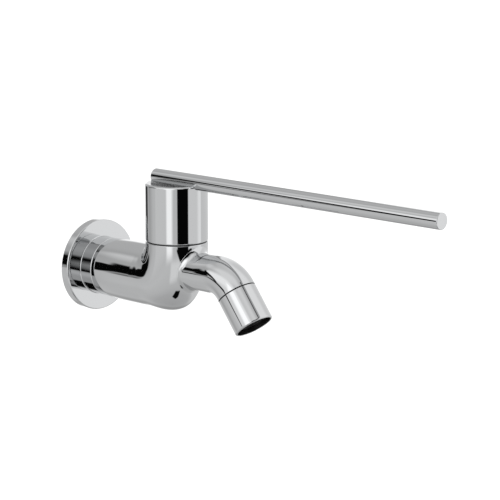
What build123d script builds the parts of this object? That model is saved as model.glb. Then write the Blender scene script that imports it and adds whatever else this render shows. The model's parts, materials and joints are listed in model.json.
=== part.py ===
from build123d import *
from math import atan2, cos, hypot, radians, sin, sqrt
import os

# Laboratory bib tap in millimetres, +Z up. The origin is the centre of the wall plate's back face:
# the wall is the plane y = 0, the barrel runs out along -Y, and the lever turns about a vertical axis.
# A distance is measured from the wall along the barrel, so a distance d is at y = -d.

# Wall plate: a 60 mm disc with a short boss, hollow behind
plate_radius = 30.0
plate_thickness = 6.0
plate_edge = 1.0
plate_rim = 4.0
plate_web = 2.0
boss_radius = 19.0
boss_front = 16.3
boss_edge = 0.7
boss_root = 0.6
boss_bore = 16.55

# Inlet tail: G1/2 male, drawn at its 20.96 mm crest, and the plain tail inside the plate's boss
inlet_radius = 10.48
inlet_length = 15.0
inlet_chamfer = 1.0
tail_radius = 16.5
tail_back = 3.0
tail_groove_radius = 14.7
tail_groove_distance = 10.0
tail_groove_width = 2.2
tail_ring_section = 0.9

# Barrel, nose and neck of the casting
reach = 77.0                 # wall to the lever's axis
barrel_start = 16.4
barrel_stations = ((16.4, 19.0), (25.0, 19.45), (34.0, 19.7), (43.0, 19.75))  # distance, radius
barrel_radius = 19.75
neck_radius = 20.0
neck_top = 25.7
neck_stations = (31.0, 38.0)  # above the cut, so the neck ends straight
inner_bend = 5.0             # concave radius between barrel and neck
nose_radius = 17.9
nose_distance = 72.8
nose_drop = 2.1
nose_angles = (25, 36, 46)   # degrees from straight down, where the round nose sets the bend's outside
upper_fan = ((60, 47.8), (75, 45.7))   # angle, and the outside's distance from the bend's centre
casting_wall = 3.6

# The bend's sections fan out from this centre, under the neck and above the barrel
bend_distance = reach - neck_radius - inner_bend
bend_height = barrel_radius + inner_bend

# Inlet waterway, along the barrel
inlet_bore = 7.0
inlet_bore_end = 5.0
inlet_step_radius = 12.0
inlet_step = (10.0, 16.0)
inlet_chamber_start = 22.0
under_seat_start = 40.0      # from here the chamber runs on below the valve seat
seat_web = 3.0               # wall between the inlet chamber and the valve chamber

# Valve chamber in the neck, about the lever's axis
seat_floor = -3.8
port_radius = 5.5
seat_recess_radius = 9.4
seat_recess_height = 2.5
chamber_radius = 13.5
chamber_top = 14.5
thread_radius = 10.5         # G1/2 female for the headwork
ring_step_radius = 11.75
ring_step_z = 22.1
collar_seat_z = 23.7
collar_seat_radius = 12.1

# Spout: a nearly level run, one bend, then down to the nozzle. It leaves the neck slimmer than the nozzle and
# swells in the bend. Lengths along its centre line are counted on from spout_start
spout_radius = 12.7
spout_slim_radius = 12.05
spout_slim_end = 101.0
spout_swell_end = 131.0
spout_stations = (92.0, 100.0, 105.0, 109.0, 113.0, 117.0, 121.0, 126.0, 131.0)
spout_start = 84.0
spout_start_height = 8.3
spout_height = 8.75          # at the corner, so the first run rises a little
spout_corner = 122.5
spout_bend = 20.0
spout_slope = 52.25          # degrees below level
spout_seam = 11.4            # along the slope, from the corner of the centre line
spout_root = 4.0             # fillet where the spout leaves the neck
spout_bore = 8.5
spout_bore_start = 94.5
throat_radius = 5.5
throat_middle = 92.0
throat_length = 8.0
nozzle_thread_radius = 10.95
nozzle_thread_length = 8.2

# Nozzle and the aerator in it, measured down the slope from the seam
nozzle_length = 24.2
seam_gap = 0.35
nozzle_edge = 1.0
nozzle_seam_chamfer = 0.2
nozzle_clearance = 0.1
nozzle_thread_end = 9.2
mouth_radius = 11.4
mouth_depth = 4.0
lip_radius = 9.4
lip_height = 1.3
cartridge_radius = 10.5
gasket_end = 10.2
gasket_bore = 8.6
jet_disc_end = 12.3
jet_rings = ((6, 3.2), (12, 6.6))      # holes, and the radius of their circle
jet_hole_radius = 0.9
housing_bore = 9.3
housing_lip_bore = 8.6
air_hole_z = 13.6
air_hole = (3.0, 2.6, 1.4)
screen_radius = 9.2
screen_z = ((15.3, 15.6), (15.7, 16.0))
screen_cell = (2.2, 2.8)     # hole, pitch
grid_z = (16.0, 18.0)
grid_cell = (1.9, 2.5)
grid_rim = 0.5

# Headwork: quarter-turn ceramic valve
sleeve_radius = 9.2
sleeve_bore = 8.2
sleeve_bottom = 1.8
shoulder_z = 14.0
relief_radius = 9.95
collar_radius = 12.0
collar_top = 26.6
hexagon_flats = 17.0
hexagon_top = 34.6
hexagon_corner_radius = 9.9  # the corners are turned off to this
hexagon_chamfer = 1.0
bonnet_top = 36.5
bonnet_top_radius = 6.3
ring_section = 0.78
ring_radius = 10.85
window_angles = (45, 225)
window_half_angle = 36.0
window_z = (6.8, 12.6)
stop_angles = (135, 315)
stop_half_angle = 11.0
stop_radius = 6.5
stop_bottom = 9.6
tab_slot = (2.4, 3.0, 4.4)
tab_slot_place = (8.7, 4.0)  # radius, height
tab_width = 2.8
tab_radii = (7.5, 9.1)
seat_seal_radii = (6.5, 8.0)

# Ceramic discs
fixed_disc_radius = 8.1
moving_disc_radius = 7.8
disc_gap = 0.05
fixed_disc_z = (3.2, 6.2)
moving_disc_top = 9.2
disc_port_half_angle = 36.0
disc_port_radii = (2.2, 6.4)
drive_slot = (2.8, 3.4, 1.7)
drive_lug = (2.4, 3.0, 1.4)
drive_radius = 4.7

# Spindle
spindle_radius = 5.0
running_gap = 0.05
carrier_width = 7.0
carrier_radius = 7.6
carrier_z = (9.3, 12.3)
carrier_shoulder_radius = 6.2
washer_gap = 0.1
washer_radii = (5.15, 7.9)
spindle_groove_z = (18.05, 21.55)
spindle_groove_width = 1.6
spindle_groove_radius = 3.75
spindle_ring_radius = 4.37
spindle_ring_section = 0.61
clip_z = (36.6, 37.5)
clip_groove_radius = 4.3
clip_radii = (4.35, 7.0)
clip_gap = 0.05
clip_mouth_half_angle = 35.0
spline_teeth = 20
spline_tip = 4.0
spline_root = 3.55
spline_gap = 0.06
spline_z = (38.6, 51.0)
spline_waist_radius = 3.4
spline_waist_half = 1.8
spindle_tapping_radius = 1.65
spindle_tapping_bottom = 40.0

# Glide ring between the neck and the hub
glide_flange_radius = 19.2
glide_flange = 0.5
glide_lip_radii = (15.7, 16.9)
glide_lip_top = 30.0

# Lever hub, 40 mm across, and its 10 mm bar
hub_radius = 20.0
hub_bottom = 26.3
hub_top = 63.0
hub_bore = 17.2
hub_roof = 57.0
hub_top_edge = 1.2
hub_bottom_edge = 0.8
hub_boss_radius = 9.0
hub_boss_bottom = 38.6
hub_rib_angles = (45, 135, 225, 315)
hub_rib_thickness = 2.0
hub_rib_bottom = 49.0
hub_rib_radii = (8.3, 17.7)
screw_boss_radius = 4.4
screw_clearance_radius = 2.25
insert_radius = 6.0
insert_z = (39.0, 51.2)
insert_pocket_top = 51.4
grub_z = 45.0
grub_radius = 2.5
grub_gap = 0.05
grub_boss_radius = 4.6
grub_boss = (8.2, 17.8)
grub_tip = 3.6
grub_tip_radius = 1.2
grub_tip_end = 4.9
grub_end = 13.1
grub_end_chamfer = 0.3
grub_socket = (2.5, 2.5)     # across flats, depth
rod_radius = 5.0
rod_height = 65.25
rod_length = 230.0
rod_behind = 18.6            # rod end behind the lever's axis
rod_chamfer = 0.5
rod_seat_gap = 0.02
rod_tapping_radius = 2.0
rod_tapping = (59.25, 65.55)
rod_screw_offset = 13.0
rod_screw_seat = 53.6
rod_screw_head = (3.5, 3.8)  # radius, height
rod_screw_shank = 1.95
rod_screw_end = 64.85
rod_screw_socket = (3.0, 2.0)

over = 1.0                   # how far a cutting shape runs past the surface that it opens
overlap = 0.5                # how far joined shapes run into each other

lever_axis = Pos(0, -reach, 0)
towards_wall = Rot(-90, 0, 0)


def outline_face(points):
    return make_face(Polyline(*points, close=True))


def turned(points):
    """Solid of revolution about Z from (radius, height) points."""
    return revolve(outline_face([(r, 0, z) for r, z in points]), Axis.Z)


def turned_along_barrel(points):
    """Solid of revolution about the barrel's axis from (radius, distance) points."""
    return revolve(outline_face([(r, -d, 0) for r, d in points]), Axis.Y)


def tube(inner, outer, low, high):
    return turned([(inner, low), (outer, low), (outer, high), (inner, high)])


def rod(radius, low, high):
    return Pos(0, 0, low) * Cylinder(radius, high - low, align=(Align.CENTER, Align.CENTER, Align.MIN))


def sector(inner, outer, middle, half_angle, low, high):
    """A slice of a ring between two angles about Z."""
    start, centre, end = [radians(middle + side * half_angle) for side in (-1, 0, 1)]
    outer_arc = ThreePointArc(*[(outer * cos(a), outer * sin(a)) for a in (start, centre, end)])
    inner_arc = ThreePointArc(*[(inner * cos(a), inner * sin(a)) for a in (end, centre, start)])
    sides = [Line(outer_arc @ 1, inner_arc @ 0), Line(inner_arc @ 1, outer_arc @ 0)]
    face = make_face([outer_arc, sides[0], inner_arc, sides[1]])
    return Pos(0, 0, low) * extrude(face, high - low)


def box_between(low, high, size_y, middle_x, size_x):
    """A block on a height range, centred on y = 0."""
    return Pos(middle_x, 0, (low + high) / 2) * Box(size_x, size_y, high - low)


def hex_socket(flats, depth):
    return extrude(RegularPolygon(flats / 2, 6, major_radius=False), depth)


def rim_edges(solid, radius, place, axis):
    """Circular edges of one radius at one place along an axis."""
    tolerance = 1e-4
    rims = solid.edges().filter_by(GeomType.CIRCLE)
    rims = rims.filter_by_position(axis, place - tolerance, place + tolerance)
    return [rim for rim in rims if abs(rim.radius - radius) < tolerance]


def wall_flange():
    recess = plate_radius - plate_rim
    web = plate_thickness - plate_web
    plate = turned_along_barrel([
        (recess, 0), (plate_radius, 0), (plate_radius, plate_thickness), (boss_radius, plate_thickness),
        (boss_radius, boss_front), (boss_bore, boss_front), (boss_bore, web), (recess, web)])
    plate = fillet(rim_edges(plate, plate_radius, -plate_thickness, Axis.Y), plate_edge)
    plate = fillet(rim_edges(plate, boss_radius, -plate_thickness, Axis.Y), boss_root)
    return fillet(rim_edges(plate, boss_radius, -boss_front, Axis.Y), boss_edge)


def flange_o_ring():
    ring = Torus(tail_groove_radius + tail_ring_section + 0.02, tail_ring_section)
    return Pos(0, -tail_groove_distance, 0) * towards_wall * ring


def nose_outside(angle):
    """From the bend's centre to the far side of the round nose, at an angle from straight down."""
    across = nose_distance - bend_distance
    down = bend_height + nose_drop
    away = hypot(across, down)
    turn = radians(angle) - atan2(across, down)
    return away * cos(turn) + sqrt(nose_radius ** 2 - (away * sin(turn)) ** 2)


def fan_section(angle, outside):
    """Ellipse of the bend, from its inner radius to the outside, at an angle from straight down."""
    out_y, out_z = -sin(radians(angle)), -cos(radians(angle))
    middle = (outside + inner_bend) / 2
    half_width = barrel_radius + (neck_radius - barrel_radius) * angle / 90
    plane = Plane(origin=(0, middle * out_y - bend_distance, middle * out_z + bend_height),
                  x_dir=(0, out_y, out_z), z_dir=(0, out_z, -out_y))
    return plane * Ellipse((outside - inner_bend) / 2, half_width)


def elbow():
    """Barrel, nose and neck as one skin over sections that follow the barrel and fan round the bend."""
    sections = []
    for distance, radius in barrel_stations:
        plane = Plane(origin=(0, -distance, 0), x_dir=(0, 0, -1), z_dir=(0, -1, 0))
        sections.append(plane * Circle(radius))
    fan = [(0, bend_height + barrel_radius)]
    fan += [(angle, nose_outside(angle)) for angle in nose_angles]
    fan += [*upper_fan, (90, 2 * neck_radius + inner_bend)]
    sections += [fan_section(angle, outside) for angle, outside in fan]
    for height in neck_stations:
        plane = Plane(origin=(0, -reach, height), x_dir=(0, -1, 0), z_dir=(0, 0, 1))
        sections.append(plane * Circle(neck_radius))
    above = lever_axis * rod(2 * neck_radius, neck_top, neck_stations[-1] + over)
    return loft(sections) - above


def slope_point(past_corner):
    """Point of the spout's centre line on the slope, past the corner where its two runs meet."""
    slope = radians(spout_slope)
    return (0, -spout_corner - past_corner * cos(slope), spout_height - past_corner * sin(slope))


def spout_line(start, past_corner):
    """Centre line of the spout: nearly level, one arc, then down the slope."""
    rise = (spout_height - spout_start_height) / (spout_corner - spout_start)
    first = (0, -start, spout_height - rise * (spout_corner - start))
    corner = (0, -spout_corner, spout_height)
    return FilletPolyline(first, corner, slope_point(past_corner), radius=spout_bend)


def spout_outside_radius(length):
    """Slim at first, then a smooth step up to the nozzle's radius."""
    share = min(max((length - spout_slim_end) / (spout_swell_end - spout_slim_end), 0), 1)
    step = share ** 3 * (share * (6 * share - 15) + 10)
    return spout_slim_radius + (spout_radius - spout_slim_radius) * step


def spout_outside():
    """Circles along the centre line, joined in one skin."""
    line = spout_line(spout_start, spout_seam)
    sections = []
    for length in (spout_start, *spout_stations, spout_start + line.length):
        share = (length - spout_start) / line.length
        plane = Plane(origin=line.position_at(share), x_dir=(1, 0, 0), z_dir=line.tangent_at(share))
        sections.append(plane * Circle(spout_outside_radius(length)))
    return loft(sections)


def in_nozzle(solid):
    """Moves a solid from the Z axis to the slope, with its zero height at the seam."""
    slope = radians(spout_slope)
    seam = Plane(origin=slope_point(spout_seam), x_dir=(1, 0, 0), z_dir=(0, -cos(slope), -sin(slope)))
    return seam.location * solid


def inlet_waterway():
    chamber = barrel_radius - casting_wall
    chamber_end = reach - chamber_radius - seat_web
    start = -inlet_length - over
    return turned_along_barrel([
        (0, start), (inlet_bore, start), (inlet_bore, inlet_bore_end), (inlet_step_radius, inlet_step[0]),
        (inlet_step_radius, inlet_step[1]), (chamber, inlet_chamber_start), (chamber, chamber_end),
        (0, chamber_end)])


def waterway_under_seat():
    """The barrel's hollow carried on below the seat, with a round end that keeps the nose's wall even."""
    chamber = barrel_radius - casting_wall
    hollow = turned_along_barrel([
        (0, under_seat_start), (chamber, under_seat_start), (chamber, nose_distance), (0, nose_distance)])
    hollow += Pos(0, -nose_distance, -nose_drop) * Sphere(nose_radius - casting_wall)
    return hollow - lever_axis * rod(3 * neck_radius, seat_floor, neck_top)


def valve_chamber():
    hollow = rod(port_radius, seat_floor - over, overlap)
    hollow += rod(seat_recess_radius, 0, seat_recess_height + overlap)
    hollow += rod(chamber_radius, seat_recess_height, chamber_top)
    hollow += rod(thread_radius, chamber_top - over, ring_step_z + overlap)
    hollow += rod(ring_step_radius, ring_step_z, collar_seat_z + overlap)
    hollow += rod(collar_seat_radius, collar_seat_z, neck_top + over)
    return lever_axis * hollow


def outlet_waterway():
    """Throat from the valve chamber, then a round bore along the centre line and out of the threaded end."""
    throat = Pos(0, -throat_middle, spout_height) * towards_wall * Cylinder(throat_radius, throat_length)
    line = spout_line(spout_bore_start, spout_seam + nozzle_thread_length + over)
    start = Plane(origin=line @ 0, x_dir=(1, 0, 0), z_dir=line % 0)
    return throat + sweep(start * Circle(spout_bore), path=line)


def inlet_tail():
    groove = [tail_groove_distance + side * tail_groove_width / 2 for side in (-1, 1)]
    return turned_along_barrel([
        (0, -inlet_length), (inlet_radius - inlet_chamfer, -inlet_length),
        (inlet_radius, inlet_chamfer - inlet_length), (inlet_radius, tail_back), (tail_radius, tail_back),
        (tail_radius, groove[0]), (tail_groove_radius, groove[0]), (tail_groove_radius, groove[1]),
        (tail_radius, groove[1]), (tail_radius, barrel_start + over), (0, barrel_start + over)])


def is_spout_root(edge):
    """True for the long edges where the level spout meets the neck."""
    place = edge.center()
    beside_neck = reach + neck_radius / 2 < -place.Y < reach + neck_radius
    return edge.length > spout_radius and beside_neck and abs(place.Z - spout_height) < spout_radius


def tap_body():
    casting = elbow() + spout_outside()
    casting = fillet([edge for edge in casting.edges() if is_spout_root(edge)], spout_root)
    casting += inlet_tail()
    casting += in_nozzle(rod(nozzle_thread_radius, -over, nozzle_thread_length))
    for waterway in (inlet_waterway(), waterway_under_seat(), valve_chamber(), outlet_waterway()):
        casting -= waterway
    return casting


def headwork_body():
    bore = spindle_radius + running_gap
    thread = thread_radius - running_gap
    core = turned([
        (sleeve_bore, sleeve_bottom), (sleeve_radius, sleeve_bottom), (sleeve_radius, chamber_top),
        (thread, chamber_top), (thread, ring_step_z), (relief_radius, ring_step_z),
        (relief_radius, collar_seat_z), (collar_radius, collar_seat_z), (collar_radius, collar_top),
        (bonnet_top_radius, collar_top), (bonnet_top_radius, bonnet_top), (bore, bonnet_top),
        (bore, shoulder_z), (sleeve_bore, shoulder_z)])
    hexagon = Pos(0, 0, collar_top) * hex_socket(hexagon_flats, hexagon_top - collar_top)
    inside = bonnet_top_radius - overlap
    core += hexagon & turned([
        (inside, collar_top), (hexagon_corner_radius, collar_top),
        (hexagon_corner_radius, hexagon_top - hexagon_chamfer),
        (hexagon_corner_radius - hexagon_chamfer, hexagon_top), (inside, hexagon_top)])
    slot_radius, slot_height = tab_slot_place
    for angle in stop_angles:
        core += sector(stop_radius, sleeve_bore + overlap, angle, stop_half_angle, stop_bottom, carrier_z[1])
        core -= Rot(0, 0, angle) * Pos(slot_radius, 0, slot_height) * Box(*tab_slot)
    for angle in window_angles:
        core -= sector(tab_radii[0], sleeve_radius + over, angle, window_half_angle, *window_z)
    return lever_axis * core


def headwork_o_ring():
    return lever_axis * Pos(0, 0, (ring_step_z + collar_seat_z) / 2) * Torus(ring_radius, ring_section)


def seat_seal():
    return lever_axis * tube(*seat_seal_radii, 0, fixed_disc_z[0])


def ported_disc(radius, low, high, port_angle):
    """Disc with two sector ports across from each other."""
    disc = rod(radius, low, high)
    for angle in (port_angle, port_angle + 180):
        disc -= sector(*disc_port_radii, angle, disc_port_half_angle, low - over, high + over)
    return disc


def fixed_disc():
    disc = ported_disc(fixed_disc_radius, *fixed_disc_z, 0)
    inner, outer = tab_radii
    for angle in stop_angles:
        tab = box_between(*fixed_disc_z, tab_width, (inner + outer) / 2, outer - inner)
        disc += Rot(0, 0, angle) * tab
    return lever_axis * disc


def moving_disc():
    disc = ported_disc(moving_disc_radius, fixed_disc_z[1] + disc_gap, moving_disc_top, 90)
    length, width, depth = drive_slot
    bottom, top = moving_disc_top - depth, moving_disc_top + over
    for side in (-1, 1):
        disc -= box_between(bottom, top, width, side * drive_radius, length)
    return lever_axis * disc


def thrust_washer():
    return lever_axis * tube(*washer_radii, carrier_z[1] + washer_gap, shoulder_z)


def glide_ring():
    """Flat ring with a lip that guides the hub's bore."""
    bore = collar_radius + 0.1
    flange_top = neck_top + glide_flange
    lip_bore, lip_outside = glide_lip_radii
    return lever_axis * turned([
        (bore, neck_top), (glide_flange_radius, neck_top), (glide_flange_radius, flange_top),
        (lip_outside, flange_top), (lip_outside, glide_lip_top), (lip_bore, glide_lip_top),
        (lip_bore, flange_top), (bore, flange_top)])


def aerator_collar():
    seat = nozzle_length - mouth_depth
    thread_bore = nozzle_thread_radius + nozzle_clearance
    cartridge_bore = cartridge_radius + nozzle_clearance
    shell = turned([
        (thread_bore, seam_gap), (spout_radius, seam_gap), (spout_radius, nozzle_length),
        (mouth_radius, nozzle_length), (mouth_radius, seat), (lip_radius, seat),
        (lip_radius, seat - lip_height), (cartridge_bore, seat - lip_height),
        (cartridge_bore, nozzle_thread_end), (thread_bore, nozzle_thread_end)])
    shell = fillet(rim_edges(shell, spout_radius, nozzle_length, Axis.Z), nozzle_edge)
    shell = chamfer(rim_edges(shell, spout_radius, seam_gap, Axis.Z), nozzle_seam_chamfer)
    return in_nozzle(shell)


def aerator_gasket():
    return in_nozzle(tube(gasket_bore, cartridge_radius, nozzle_thread_length, gasket_end))


def jet_disc():
    disc = rod(cartridge_radius, gasket_end, jet_disc_end)
    for count, ring in jet_rings:
        for place in PolarLocations(ring, count):
            disc -= place * rod(jet_hole_radius, gasket_end - over, jet_disc_end + over)
    return in_nozzle(disc)


def aerator_housing():
    top = nozzle_length - mouth_depth - lip_height
    barrel = turned([
        (housing_bore, jet_disc_end), (cartridge_radius, jet_disc_end), (cartridge_radius, top),
        (housing_lip_bore, top), (housing_lip_bore, grid_z[1]), (housing_bore, grid_z[1])])
    for place in PolarLocations((housing_bore + cartridge_radius) / 2, 6):
        barrel -= place * Pos(0, 0, air_hole_z) * Box(*air_hole)
    return in_nozzle(barrel)


def square_grid(radius, cell, low, high):
    """Round plate pierced by square holes, as many as fit inside its rim."""
    hole, pitch = cell
    plate = rod(radius, low, high)
    cutter = box_between(low - over, high + over, hole, 0, hole)
    steps = range(-int(radius / pitch), int(radius / pitch) + 1)
    for column in steps:
        for row in steps:
            corner = hypot(abs(column) * pitch + hole / 2, abs(row) * pitch + hole / 2)
            if corner < radius - grid_rim:
                plate -= Pos(column * pitch, row * pitch, 0) * cutter
    return plate


def aerator_screens():
    return in_nozzle(Compound([square_grid(screen_radius, screen_cell, low, high) for low, high in screen_z]))


def outlet_grid():
    return in_nozzle(square_grid(screen_radius, grid_cell, *grid_z))


def spline_face(tip, root):
    """Straight-sided teeth: each has a root land, a flank, a tip land and a flank."""
    land_ends = ((0.0, root), (0.3, root), (0.45, tip), (0.85, tip))
    points = []
    for tooth in range(spline_teeth):
        for share, radius in land_ends:
            angle = radians((tooth + share) * 360 / spline_teeth)
            points.append((radius * cos(angle), radius * sin(angle)))
    return outline_face(points)


def spindle():
    """Carrier bar that drives the moving disc, sealed shaft, clip groove and splined end."""
    low, high = carrier_z
    bar = box_between(low, high, carrier_width, 0, 2 * carrier_radius) & rod(carrier_radius, low, high)
    bar += rod(carrier_shoulder_radius, high - over, high)
    length, width, depth = drive_lug
    for side in (-1, 1):
        bar += box_between(low - depth, low + overlap, width, side * drive_radius, length)
    shaft = rod(spindle_radius, high - overlap, spline_z[0])
    for middle in spindle_groove_z:
        edges = (middle - spindle_groove_width / 2, middle + spindle_groove_width / 2)
        shaft -= tube(spindle_groove_radius, spindle_radius + over, *edges)
    shaft -= tube(clip_groove_radius, spindle_radius + over, *clip_z)
    bottom, top = spline_z
    teeth = extrude(spline_face(spline_tip, spline_root), top - bottom + overlap)
    waist = tube(spline_waist_radius, spindle_radius, grub_z - spline_waist_half, grub_z + spline_waist_half)
    spline = Pos(0, 0, bottom - overlap) * teeth - waist
    spline -= rod(spindle_tapping_radius, spindle_tapping_bottom, top + over)
    return lever_axis * (bar + shaft + spline)


def spindle_o_rings():
    ring = Torus(spindle_ring_radius, spindle_ring_section)
    return Compound([lever_axis * Pos(0, 0, middle) * ring for middle in spindle_groove_z])


def spindle_clip():
    low, high = clip_z
    inner, outer = clip_radii
    ring = tube(inner, outer, low + clip_gap, high - clip_gap)
    mouth = sector(inner / 2, outer + over, 180, clip_mouth_half_angle, low - over, high + over)
    return lever_axis * (ring - mouth)


def grub_axis(solid):
    """Turns a solid from Z to point at the wall at the grub screw's height."""
    return Pos(0, 0, grub_z) * towards_wall * solid


def lever_hub():
    """Deep cup with a centre boss, four ribs, two screw bosses and a half-round seat for the bar."""
    shell = turned([(hub_bore, hub_bottom), (hub_radius, hub_bottom), (hub_radius, hub_top), (0, hub_top),
                    (0, hub_roof), (hub_bore, hub_roof)])
    shell = fillet(rim_edges(shell, hub_radius, hub_top, Axis.Z), hub_top_edge)
    shell = fillet(rim_edges(shell, hub_radius, hub_bottom, Axis.Z), hub_bottom_edge)
    inside_roof = hub_roof + overlap
    shell += rod(hub_boss_radius, hub_boss_bottom, inside_roof)
    inner, outer = hub_rib_radii
    rib = box_between(hub_rib_bottom, inside_roof, hub_rib_thickness, (inner + outer) / 2, outer - inner)
    for angle in hub_rib_angles:
        shell += Rot(0, 0, angle) * rib
    shell += grub_axis(rod(grub_boss_radius, *grub_boss))
    for side in (-1, 1):
        place = Pos(0, side * rod_screw_offset, 0)
        shell += place * rod(screw_boss_radius, rod_screw_seat, inside_roof)
        shell -= place * rod(screw_clearance_radius, rod_screw_seat - over, hub_top)
    shell -= rod(insert_radius, hub_boss_bottom - over, insert_pocket_top)
    shell -= grub_axis(rod(grub_radius + grub_gap, insert_radius - over, hub_radius + over))
    bar_seat = Cylinder(rod_radius + rod_seat_gap, 3 * hub_radius)
    shell -= Pos(0, 0, rod_height) * towards_wall * bar_seat
    return lever_axis * shell


def spline_insert():
    low, high = insert_z
    bush = rod(insert_radius, low, high)
    teeth = extrude(spline_face(spline_tip + spline_gap, spline_root + spline_gap), high - low + 2 * over)
    bush -= Pos(0, 0, low - over) * teeth
    bush -= grub_axis(rod(grub_radius + grub_gap, spline_root, insert_radius + over))
    return lever_axis * bush


def hub_grub_screw():
    flats, depth = grub_socket
    shoulder = grub_end - grub_end_chamfer
    screw = turned([
        (0, grub_tip), (grub_tip_radius, grub_tip), (grub_radius, grub_tip_end), (grub_radius, shoulder),
        (grub_radius - grub_end_chamfer, grub_end), (0, grub_end)])
    screw -= Pos(0, 0, grub_end - depth) * hex_socket(flats, depth + over)
    return lever_axis * grub_axis(screw)


def lever_rod():
    middle = rod_behind - reach - rod_length / 2
    bar = Pos(0, middle, rod_height) * towards_wall * Cylinder(rod_radius, rod_length)
    bar = chamfer(bar.edges().filter_by(GeomType.CIRCLE), rod_chamfer)
    for side in (-1, 1):
        bar -= lever_axis * Pos(0, side * rod_screw_offset, 0) * rod(rod_tapping_radius, *rod_tapping)
    return bar


def rod_screws():
    head_radius, head_height = rod_screw_head
    flats, depth = rod_screw_socket
    head_bottom = rod_screw_seat - head_height
    screw = rod(head_radius, head_bottom, rod_screw_seat)
    screw += rod(rod_screw_shank, rod_screw_seat - overlap, rod_screw_end)
    screw -= Pos(0, 0, head_bottom - over) * hex_socket(flats, depth + over)
    return Compound([lever_axis * Pos(0, side * rod_screw_offset, 0) * screw for side in (-1, 1)])


pieces = [
    wall_flange, flange_o_ring, tap_body, headwork_body, headwork_o_ring, seat_seal, fixed_disc,
    thrust_washer, glide_ring, aerator_collar, aerator_gasket, jet_disc, aerator_housing,
    aerator_screens, outlet_grid,
    spindle, spindle_o_rings, spindle_clip, moving_disc, lever_hub, spline_insert, hub_grub_screw, lever_rod,
    rod_screws]

os.makedirs("parts", exist_ok=True)
for piece in pieces:
    export_step(piece(), f"parts/{piece.__name__}.step")
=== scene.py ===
import bpy
import json
import numpy as np
from math import atan2, cos, pi, radians, sin, sqrt, tan
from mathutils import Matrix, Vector


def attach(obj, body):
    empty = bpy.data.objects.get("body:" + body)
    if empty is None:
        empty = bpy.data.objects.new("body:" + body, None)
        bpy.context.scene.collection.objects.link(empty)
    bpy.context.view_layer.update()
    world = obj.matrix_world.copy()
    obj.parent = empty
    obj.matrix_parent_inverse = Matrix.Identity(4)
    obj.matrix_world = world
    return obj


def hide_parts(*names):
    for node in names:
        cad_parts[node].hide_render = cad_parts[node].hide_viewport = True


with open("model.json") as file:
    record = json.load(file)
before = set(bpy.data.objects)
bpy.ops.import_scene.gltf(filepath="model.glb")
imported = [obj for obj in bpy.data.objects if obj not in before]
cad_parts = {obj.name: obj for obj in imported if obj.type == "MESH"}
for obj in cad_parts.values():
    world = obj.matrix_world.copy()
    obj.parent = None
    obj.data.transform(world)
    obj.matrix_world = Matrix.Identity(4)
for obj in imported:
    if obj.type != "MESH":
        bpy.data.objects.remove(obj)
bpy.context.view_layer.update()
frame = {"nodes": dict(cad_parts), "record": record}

mm = 0.001
turn = 2 * pi
tipRadius = 0.01    # millimetres: a ring this small stands for a point on an axis
crispDegrees = 35   # edges of a cut that are sharper than this shade as edges


# Shape tools. Every length below is in millimetres until makePiece turns it to metres.

def splineThrough(knots, values, at, startSlope=None, endSlope=None):
    # Cubic spline: the second slopes m at the knots solve the tridiagonal system that makes the first slopes
    # meet, then each value is the line between its two knots plus the cubic terms of m
    x, y = np.asarray(knots, float), np.asarray(values, float)
    h, n = np.diff(x), len(x)
    a, b = np.zeros((n, n)), np.zeros(n)
    inner = np.arange(1, n - 1)
    a[inner, inner - 1], a[inner, inner], a[inner, inner + 1] = h[:-1], 2 * (h[:-1] + h[1:]), h[1:]
    b[inner] = 6 * (np.diff(y)[1:] / h[1:] - np.diff(y)[:-1] / h[:-1])
    a[0, 0] = a[-1, -1] = 1
    if startSlope is not None:
        a[0, :2], b[0] = (2 * h[0], h[0]), 6 * ((y[1] - y[0]) / h[0] - startSlope)
    if endSlope is not None:
        a[-1, -2:], b[-1] = (h[-1], 2 * h[-1]), 6 * (endSlope - (y[-1] - y[-2]) / h[-1])
    m = np.linalg.solve(a, b)
    i = np.clip(np.searchsorted(x, at, side="right") - 1, 0, n - 2)
    left, right = np.asarray(at) - x[i], x[i + 1] - np.asarray(at)
    cubic = (m[i] * right**3 + m[i + 1] * left**3) / (6 * h[i])
    return cubic + (y[i] / h[i] - m[i] * h[i] / 6) * right + (y[i + 1] / h[i] - m[i + 1] * h[i] / 6) * left


def easeBetween(t):
    # Smooth step from 0 to 1: 6 t^5 - 15 t^4 + 10 t^3, level at both ends
    t = np.clip(t, 0, 1)
    return t**3 * (t * (6 * t - 15) + 10)


def roundedProfile(corners, closed=False, arcSteps=10, hold=0.03):
    # Corners are (radius, height, edge radius). Each edge is an arc tangent to its two sides, with a point
    # held close beside each end, so that the flats shade flat
    flat = np.array([c[:2] for c in corners], float)
    n, out = len(corners), []
    for i, (_, _, edge) in enumerate(corners):
        here = flat[i]
        if (not closed and i in (0, n - 1)) or edge == 0:
            out.append(here[None])
            continue
        before, after = flat[i - 1] - here, flat[(i + 1) % n] - here
        sideIn, sideOut = before / np.hypot(*before), after / np.hypot(*after)
        half = np.arccos(np.clip(sideIn @ sideOut, -1, 1)) / 2
        reach = edge / tan(half)
        middle = here + (sideIn + sideOut) / np.hypot(*(sideIn + sideOut)) * edge / sin(half)
        start, end = here + sideIn * reach - middle, here + sideOut * reach - middle
        sweep, t = pi - 2 * half, np.linspace(0, 1, arcSteps + 1)[:, None]
        arc = (np.sin((1 - t) * sweep) * start + np.sin(t * sweep) * end) / sin(sweep) + middle
        guardIn = here + sideIn * (reach + min(hold, np.hypot(*before) / 4))
        guardOut = here + sideOut * (reach + min(hold, np.hypot(*after) / 4))
        out += [guardIn[None], arc, guardOut[None]]
    return np.concatenate(out)


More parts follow.
